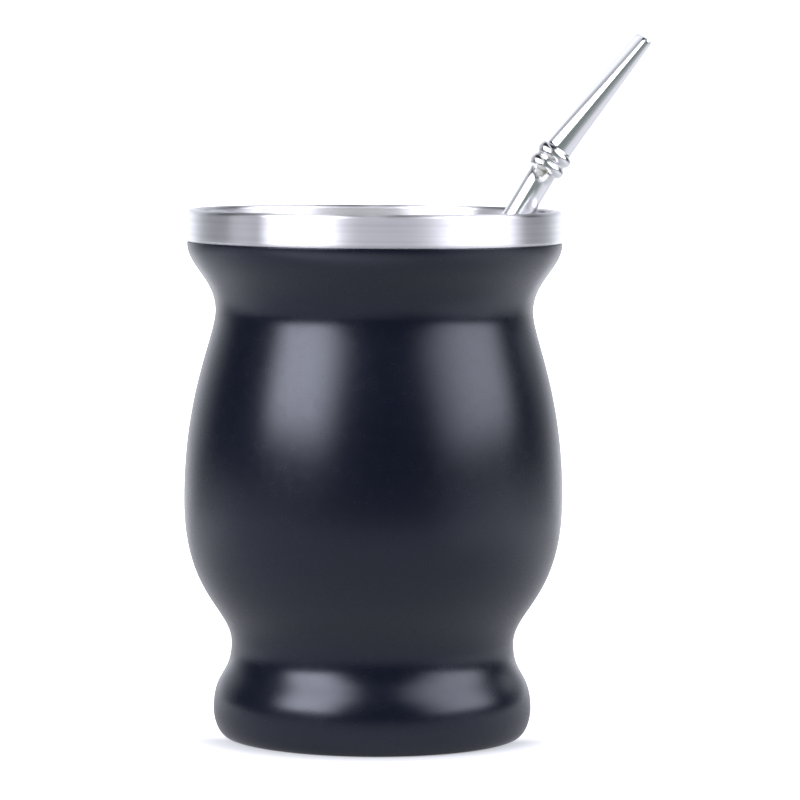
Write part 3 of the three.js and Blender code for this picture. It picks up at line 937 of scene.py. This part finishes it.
def span(tree, value, start, end, low=0.0, high=1.0):
    """Smooth change from low to high as a value goes from start to end."""
    node = add_node(tree, "ShaderNodeMapRange", interpolation_type="SMOOTHSTEP", Value=value)
    feed(node, From_Min=start, From_Max=end, To_Min=low, To_Max=high)
    return node.outputs["Result"]


def parts(tree, vector):
    """The x, y and z of a vector."""
    return add_node(tree, "ShaderNodeSeparateXYZ", Vector=vector).outputs


def arithmetic(tree, operation, *values):
    """Math node on sockets and plain numbers."""
    node = add_node(tree, "ShaderNodeMath", operation=operation)
    for socket, value in zip(node.inputs, values):
        if isinstance(value, bpy.types.NodeSocket):
            tree.links.new(value, socket)
        else:
            socket.default_value = value
    return node.outputs[0]


def folded(tree, operation, first, *others):
    """Math node after math node over any number of values, as a sum or a product."""
    for other in others:
        first = arithmetic(tree, operation, first, other)
    return first


def card(name, place, facing, size, radiance, fades, lit=None, tint=STUDIO_TINT):
    """Area light that shines along its own -Z from a place. It lights only the piece named in lit, or all
    where lit is None. Its radiance goes from that of its lower edge to that of its upper edge, and fades to
    nothing over the shares fades at its left, right, lower and upper sides. A one-sided area light of power
    P and area A has the radiance P / (pi A)."""
    width, height = size
    data = bpy.data.lights.new(name, "AREA")
    data.shape = "RECTANGLE"
    data.size, data.size_y = width, height
    data.energy = math.pi * width * height
    data.color = tint
    data.use_nodes = True
    tree = data.node_tree
    across, up, _ = parts(tree, add_node(tree, "ShaderNodeNewGeometry").outputs["Parametric"])
    left, right, lower, upper = fades
    sides = ((across, 0.0, left), (across, 1.0, 1.0 - right), (up, 0.0, lower), (up, 1.0, 1.0 - upper))
    strength = span(tree, up, 0.0, 1.0, *radiance)
    strength = folded(tree, "MULTIPLY", strength, *(span(tree, *side) for side in sides))
    feed(tree.nodes["Emission"], Strength=strength)
    lamp = bpy.data.objects.new(name, data)
    bpy.context.scene.collection.objects.link(lamp)
    lamp.matrix_world = Matrix.Translation(place) @ facing
    lamp.visible_camera = False
    if lit:
        receivers = bpy.data.collections.new(name + "_lights")
        receivers.objects.link(bpy.data.objects[lit])
        lamp.light_linking.receiver_collection = receivers


def softbox(name, middle, spread, radiance, fades, lit=None, distance=SOFTBOX_DISTANCE, tint=STUDIO_TINT):
    """Card that faces the cup. middle and spread are an azimuth and an elevation in degrees, as seen from the
    cup, with azimuth 0 towards the viewer and growing to the right."""
    azimuth, elevation = (math.radians(angle) for angle in middle)
    width = 2 * distance * math.tan(math.radians(spread[0] / 2)) * math.cos(elevation)
    height = 2 * distance * math.tan(math.radians(spread[1] / 2))
    level = distance * math.cos(elevation)
    up = SOFTBOX_AIM + distance * math.sin(elevation)
    place = (level * math.sin(azimuth), -level * math.cos(azimuth), up)
    facing = Matrix.Rotation(azimuth, 4, "Z") @ Matrix.Rotation(math.pi / 2 - elevation, 4, "X")
    card(name, place, facing, (width, height), radiance, fades, lit, tint)


class MATE_OT_stage(bpy.types.Operator):
    """Add the plain floor, the studio light and the camera"""

    bl_idname = "mate.stage"
    bl_label = "Stage"

    def floor(self, stage):
        """Pale floor that glows behind and beside the cup, as steel and paint reflect it, and whose colour is
        darkened towards the viewer as painted shade. It is lit up where it is seen directly, so that it stays
        white to the horizon and keeps only a faint shadow, with a painted shadow added in front of the foot."""
        side = 12.0
        corners = np.array([(-side, -side, 0), (side, -side, 0), (side, side, 0), (-side, side, 0)], float)
        piece = new_mesh_object("studio_floor", corners, [np.array([[0, 1, 2, 3]])])
        material, tree, shader = new_material("pale_floor", Roughness=0.9, Specular_IOR_Level=0.0)
        place = own_place(tree)
        x, y, _ = parts(tree, place)
        reach = add_node(tree, "ShaderNodeVectorMath", operation="LENGTH", Vector=place).outputs["Value"]
        # Painted shade: the floor's colour falls to 0.15 of itself towards the viewer, so that paint and
        # steel reflect a darker floor in front
        past_viewer = span(tree, y, -0.6, -0.05)
        shade = blended(tree, past_viewer, scaled(stage.floor_colour, 0.15), stage.floor_colour)
        straight_behind = span(tree, arithmetic(tree, "DIVIDE", y, reach), 0.58, 0.95)
        far_glow = folded(tree, "MULTIPLY", straight_behind, span(tree, y, 0.12, 0.5))
        to_the_right = span(tree, arithmetic(tree, "DIVIDE", x, reach), 0.5, 0.9, 0.0, 0.36)
        beside = (span(tree, y, 0.1, -0.05), span(tree, reach, 0.1, 0.25))
        side_glow = folded(tree, "MULTIPLY", to_the_right, *beside)
        close = span(tree, reach, 0.7, 0.3, 0.25, 1.0)
        near_glow = folded(tree, "MULTIPLY", span(tree, y, -0.1, 0.1, 0.06, 0.50), close)
        glow = folded(tree, "ADD", near_glow, side_glow, far_glow)
        seen = add_node(tree, "ShaderNodeLightPath").outputs["Is Camera Ray"]
        round_foot, in_front = span(tree, reach, 0.031, 0.046, -0.56, 0.0), span(tree, y, 0.0, -0.012)
        contact_shadow = folded(tree, "MULTIPLY", round_foot, in_front)
        seen_glow = folded(tree, "ADD", span(tree, reach, 0.12, 0.45, 0.76, 1.0), contact_shadow)
        glow = arithmetic(tree, "MULTIPLY_ADD", seen, seen_glow, glow)
        feed(shader, Base_Color=shade, Emission_Color=(0.93, 0.95, 1.0, 1.0), Emission_Strength=glow)
        piece.data.materials.append(material)

    def world(self, stage):
        """Studio room: white behind the cup, a little dimmer to the right, dark behind the viewer, and plain
        white where it is seen directly."""
        world = bpy.data.worlds.new("studio")
        bpy.context.scene.world = world
        world.use_nodes = True
        tree = world.node_tree
        x, y, z = parts(tree, add_node(tree, "ShaderNodeTexCoord").outputs["Generated"])
        dimmer_right = span(tree, x, 0.1, 0.6, 1.0, 0.7)
        behind = span(tree, y, 0.40, 0.92, 0.02, stage.backdrop_radiance)
        wall = folded(tree, "MULTIPLY", behind, dimmer_right)
        low_behind = folded(tree, "MULTIPLY", span(tree, y, 0.72, 0.95), span(tree, z, 0.2, 0.02, 0.0, 0.4))
        backdrop = folded(tree, "ADD", wall, low_behind)
        seen = add_node(tree, "ShaderNodeLightPath").outputs["Is Camera Ray"]
        shade = blended(tree, seen, (0.89, 0.915, 1.0), (1.0, 1.0, 1.0))
        feed(tree.nodes["Background"], Color=shade, Strength=arithmetic(tree, "MAXIMUM", backdrop, seen))

    def camera(self, stage):
        """Camera at the viewer's place: pitched down, and turned a little about its view."""
        data = bpy.data.cameras.new("camera")
        data.sensor_width = 36.0
        data.lens = data.sensor_width * stage.focal_pixels / IMAGE_SIDE
        data.clip_start, data.clip_end = 0.01, 100.0
        camera = bpy.data.objects.new("camera", data)
        bpy.context.scene.collection.objects.link(camera)
        place = Matrix.Translation((stage.camera_side, -stage.camera_distance, stage.camera_height))
        pitch = Matrix.Rotation(math.pi / 2 - stage.camera_pitch, 4, "X")
        camera.matrix_world = place @ pitch @ Matrix.Rotation(stage.camera_roll, 4, "Z")
        bpy.context.scene.camera = camera

    def execute(self, context):
        stage = context.scene.mate_stage
        self.floor(stage)
        self.world(stage)
        left, right = stage.left_radiance, stage.right_radiance
        softbox("left_softbox", (-48, 36), (70, 56), (left, 0.8 * left), (0.3, 0.4, 0.15, 0.3))
        softbox("right_softbox", (70, 36), (88, 62), (right, 0.8 * right), (0.5, 0.35, 0.15, 0.3))
        for row in ROOM_SOFTBOXES:
            softbox(*row)
        for name, place, tilt, *others in NEAR_CARDS:
            card(name, place, Matrix.Rotation(math.radians(tilt), 4, "X"), *others)
        self.camera(stage)
        context.scene.view_settings.view_transform = "Standard"
        return {"FINISHED"}


class MATE_PT_panel(bpy.types.Panel):
    """Lists the pieces of the cup and their sizes"""

    bl_idname = "MATE_PT_panel"
    bl_label = "Mate cup"
    bl_space_type = "VIEW_3D"
    bl_region_type = "UI"
    bl_category = "Mate"

    def draw(self, context):
        layout = self.layout
        for group, steps in STEPS:
            box = layout.box()
            settings = getattr(context.scene, group)
            for name in settings.bl_rna.properties.keys():
                if name not in ("rna_type", "name"):
                    box.prop(settings, name)
            for step in steps:
                box.operator(step.bl_idname)


SETTINGS = {
    "mate_cup": MateCupSettings,
    "mate_straw": MateStrawSettings,
    "mate_drink": MateDrinkSettings,
    "mate_stage": MateStageSettings,
}
STEPS = (
    ("mate_cup", (MATE_OT_cup_body, MATE_OT_steel_liner)),
    ("mate_straw", (MATE_OT_bombilla,)),
    ("mate_drink", (MATE_OT_leaves, MATE_OT_brew)),
    ("mate_stage", (MATE_OT_stage,)),
)


def register():
    """Registers the settings, the operators and the panel."""
    for name, settings in SETTINGS.items():
        bpy.utils.register_class(settings)
        setattr(bpy.types.Scene, name, bpy.props.PointerProperty(type=settings))
    for _, steps in STEPS:
        for step in steps:
            bpy.utils.register_class(step)
    bpy.utils.register_class(MATE_PT_panel)


def unregister():
    """Takes away what register has added."""
    bpy.utils.unregister_class(MATE_PT_panel)
    for _, steps in reversed(STEPS):
        for step in reversed(steps):
            bpy.utils.unregister_class(step)
    for name, settings in reversed(SETTINGS.items()):
        delattr(bpy.types.Scene, name)
        bpy.utils.unregister_class(settings)


def main():
    """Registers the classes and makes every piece."""
    register()
    bpy.ops.mate.cup_body()
    bpy.ops.mate.steel_liner()
    bpy.ops.mate.bombilla()
    bpy.ops.mate.leaves()
    bpy.ops.mate.brew()
    bpy.ops.mate.stage()


if __name__ == "__main__":
    main()
